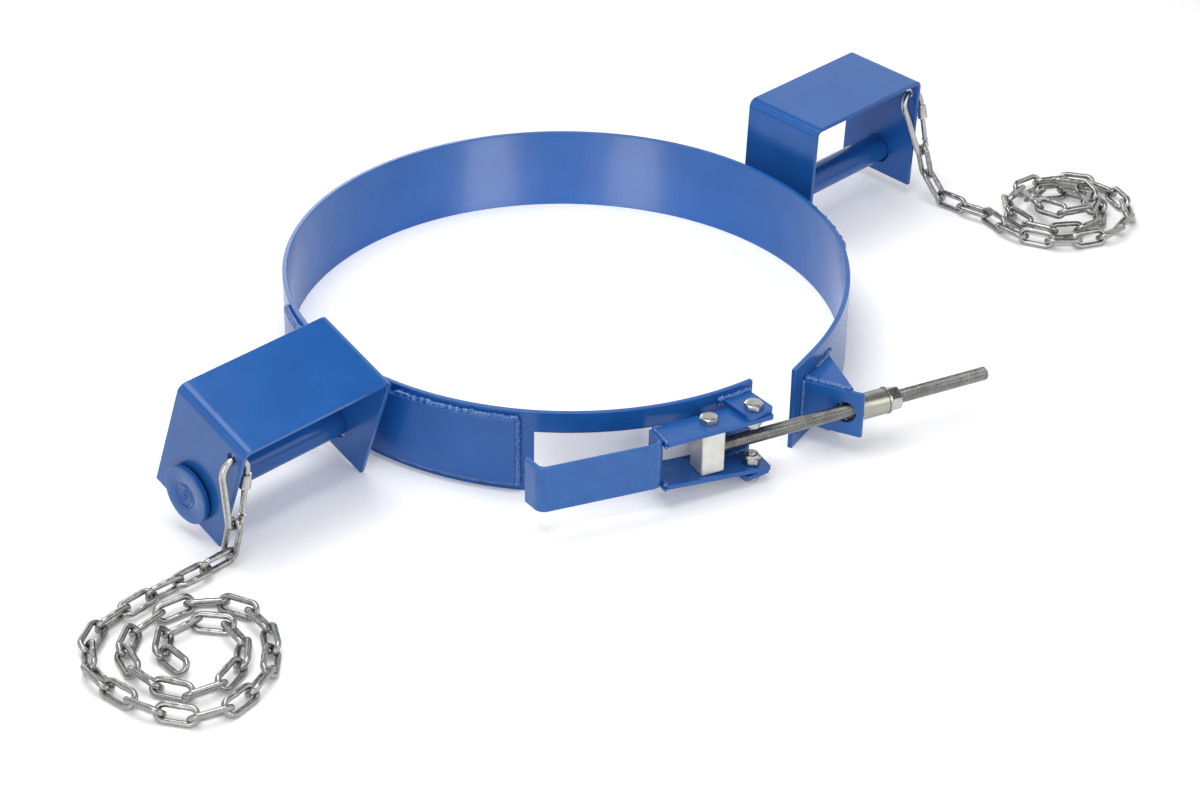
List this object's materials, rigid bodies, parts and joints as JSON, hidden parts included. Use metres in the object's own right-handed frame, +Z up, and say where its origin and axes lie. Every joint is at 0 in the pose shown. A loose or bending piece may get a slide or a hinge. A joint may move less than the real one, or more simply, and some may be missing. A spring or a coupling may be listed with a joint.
{
  "type": "drum lifter",
  "caption": "Fork-mounted drum lifter: an over-centre clamp ring for a steel drum, with a fork sleeve on an axle at each side and a safety chain on a snap hook in each sleeve.",
  "frame": {"origin": "middle of the base of the ring, latch, axles and fork sleeves, with the snap hooks and chains left out; z = 0 is the floor that the ring stands on", "axes": "+X along the axles from the left fork sleeve to the right one, -Y towards the latch, +Z up, along the ring's axis"},
  "size_m": [1.4117, 0.709, 0.1616],
  "materials": {
    "clamp_band": "glossy blue enamel",
    "doubler_left": "glossy blue enamel",
    "doubler_right": "glossy blue enamel",
    "axle_left": "glossy blue enamel",
    "axle_right": "glossy blue enamel",
    "axle_cap_left": "glossy blue enamel",
    "axle_cap_right": "glossy blue enamel",
    "latch_lug_upper": "glossy blue enamel",
    "latch_lug_lower": "glossy blue enamel",
    "pivot_bolt_upper": "bright zinc plate",
    "pivot_bolt_lower": "bright zinc plate",
    "pivot_nut_upper": "bright zinc plate",
    "pivot_nut_lower": "bright zinc plate",
    "rod_lug_plate": "glossy blue enamel",
    "rod_gusset_upper": "glossy blue enamel",
    "rod_gusset_lower": "glossy blue enamel",
    "fork_sleeve_left": "glossy blue enamel",
    "snap_hook_left": "bright zinc plate",
    "hook_gate_left": "bright zinc plate",
    "hook_collar_left": "bright zinc plate",
    "chain_left_link_1": "bright zinc plate",
    "chain_left_link_2": "bright zinc plate",
    "chain_left_link_3": "bright zinc plate",
    "chain_left_link_4": "bright zinc plate",
    "chain_left_laid": "bright zinc plate",
    "fork_sleeve_right": "glossy blue enamel",
    "snap_hook_right": "bright zinc plate",
    "hook_gate_right": "bright zinc plate",
    "hook_collar_right": "bright zinc plate",
    "chain_right_link_1": "bright zinc plate",
    "chain_right_link_2": "bright zinc plate",
    "chain_right_link_3": "bright zinc plate",
    "chain_right_link_4": "bright zinc plate",
    "chain_right_laid": "bright zinc plate",
    "lever_plate_upper": "glossy blue enamel",
    "lever_plate_lower": "glossy blue enamel",
    "lever_handle": "glossy blue enamel",
    "trunnion_block": "dull zinc plate",
    "trunnion_bolt_upper": "bright zinc plate",
    "trunnion_bolt_lower": "bright zinc plate",
    "threaded_rod": "bright zinc plate",
    "spacer_tube": "bright zinc plate",
    "rod_washer": "bright zinc plate",
    "rod_nut": "bright zinc plate"
  },
  "bodies": {
    "ring": {"clamp_band": "clamp_band", "doubler_left": "doubler_left", "doubler_right": "doubler_right", "axle_left": "axle_left", "axle_right": "axle_right", "axle_cap_left": "axle_cap_left", "axle_cap_right": "axle_cap_right", "latch_lug_upper": "latch_lug_upper", "latch_lug_lower": "latch_lug_lower", "pivot_bolt_upper": "pivot_bolt_upper", "pivot_bolt_lower": "pivot_bolt_lower", "pivot_nut_upper": "pivot_nut_upper", "pivot_nut_lower": "pivot_nut_lower", "rod_lug_plate": "rod_lug_plate", "rod_gusset_upper": "rod_gusset_upper", "rod_gusset_lower": "rod_gusset_lower"},
    "sleeve_left": {"fork_sleeve_left": "fork_sleeve_left"},
    "hook_left": {"snap_hook_left": "snap_hook_left"},
    "gate_left": {"hook_gate_left": "hook_gate_left"},
    "collar_left": {"hook_collar_left": "hook_collar_left"},
    "chain_left": {"chain_left_link_1": "chain_left_link_1", "chain_left_link_2": "chain_left_link_2", "chain_left_link_3": "chain_left_link_3", "chain_left_link_4": "chain_left_link_4", "chain_left_laid": "chain_left_laid"},
    "sleeve_right": {"fork_sleeve_right": "fork_sleeve_right"},
    "hook_right": {"snap_hook_right": "snap_hook_right"},
    "gate_right": {"hook_gate_right": "hook_gate_right"},
    "collar_right": {"hook_collar_right": "hook_collar_right"},
    "chain_right": {"chain_right_link_1": "chain_right_link_1", "chain_right_link_2": "chain_right_link_2", "chain_right_link_3": "chain_right_link_3", "chain_right_link_4": "chain_right_link_4", "chain_right_laid": "chain_right_laid"},
    "lever": {"lever_plate_upper": "lever_plate_upper", "lever_plate_lower": "lever_plate_lower", "lever_handle": "lever_handle"},
    "drawbar": {"trunnion_block": "trunnion_block", "trunnion_bolt_upper": "trunnion_bolt_upper", "trunnion_bolt_lower": "trunnion_bolt_lower", "threaded_rod": "threaded_rod"},
    "adjuster": {"spacer_tube": "spacer_tube", "rod_washer": "rod_washer"},
    "nut": {"rod_nut": "rod_nut"}
  },
  "joints": [
    {"name": "sleeve_left_tilt", "type": "hinge", "parent": "ring", "child": "sleeve_left", "pos_m": [-0.42, 0.04907, 0.046], "axis": [1, 0, 0], "continuous": true},
    {"name": "hook_left_swing", "type": "hinge", "parent": "sleeve_left", "child": "hook_left", "pos_m": [-0.5085, -0.015, 0.11379], "axis": [-1, 0, 0], "range_deg": [-2.5, 90]},
    {"name": "gate_left_open", "type": "hinge", "parent": "hook_left", "child": "gate_left", "pos_m": [-0.50248, -0.015, 0.05092], "axis": [0, -1, 0], "range_deg": [0, 5], "stiffness_Nm_per_rad": 0.15, "springref_deg": -20.05},
    {"name": "collar_left_slide", "type": "slide", "parent": "gate_left", "child": "collar_left", "axis": [0.1835, 0, 0.983], "range_m": [-0.018, 0]},
    {"name": "chain_left_swing", "type": "hinge", "parent": "hook_left", "child": "chain_left", "pos_m": [-0.5115, -0.015, 0.03819], "axis": [-1, 0, 0], "range_deg": [0, 30]},
    {"name": "sleeve_right_tilt", "type": "hinge", "parent": "ring", "child": "sleeve_right", "pos_m": [0.42, 0.04907, 0.046], "axis": [1, 0, 0], "continuous": true},
    {"name": "hook_right_swing", "type": "hinge", "parent": "sleeve_right", "child": "hook_right", "pos_m": [0.5085, 0.01005, 0.13049], "axis": [-1, 0, 0], "range_deg": [0, 90]},
    {"name": "gate_right_open", "type": "hinge", "parent": "hook_right", "child": "gate_right", "pos_m": [0.52247, -0.00708, 0.07136], "axis": [0, -0.9605, 0.2782], "range_deg": [0, 9], "stiffness_Nm_per_rad": 0.15, "springref_deg": -20.05},
    {"name": "collar_right_slide", "type": "slide", "parent": "gate_right", "child": "collar_right", "axis": [0.0536, 0.2778, 0.9591], "range_m": [-0.018, 0]},
    {"name": "chain_right_swing", "type": "hinge", "parent": "hook_right", "child": "chain_right", "pos_m": [0.51519, -0.01092, 0.05811], "axis": [-1, 0, 0], "range_deg": [0, 30]},
    {"name": "latch_lever", "type": "hinge", "parent": "ring", "child": "lever", "pos_m": [-0.065, -0.26393, 0.046], "axis": [0, 0, 1], "range_deg": [0, 90]},
    {"name": "drawbar_swing", "type": "hinge", "parent": "lever", "child": "drawbar", "pos_m": [-0.10804, -0.24453, 0.047], "axis": [0, 0, 1], "range_deg": [-64.5, 0.1]},
    {"name": "adjuster_slide", "type": "slide", "parent": "drawbar", "child": "adjuster", "axis": [0.9466, -0.3223, 0], "range_m": [0, 0.04]},
    {"name": "nut_spin", "type": "hinge", "parent": "adjuster", "child": "nut", "pos_m": [0.09075, -0.31221, 0.047], "axis": [0.9466, -0.3223, 0], "range_deg": [-1, 7201]}
  ],
  "couplings": [
    {"joint": "drawbar_swing", "follows": "latch_lever", "ratio": -0.716},
    {"joint": "nut_spin", "follows": "adjuster_slide", "rad_per_m": 3141.6}
  ]
}
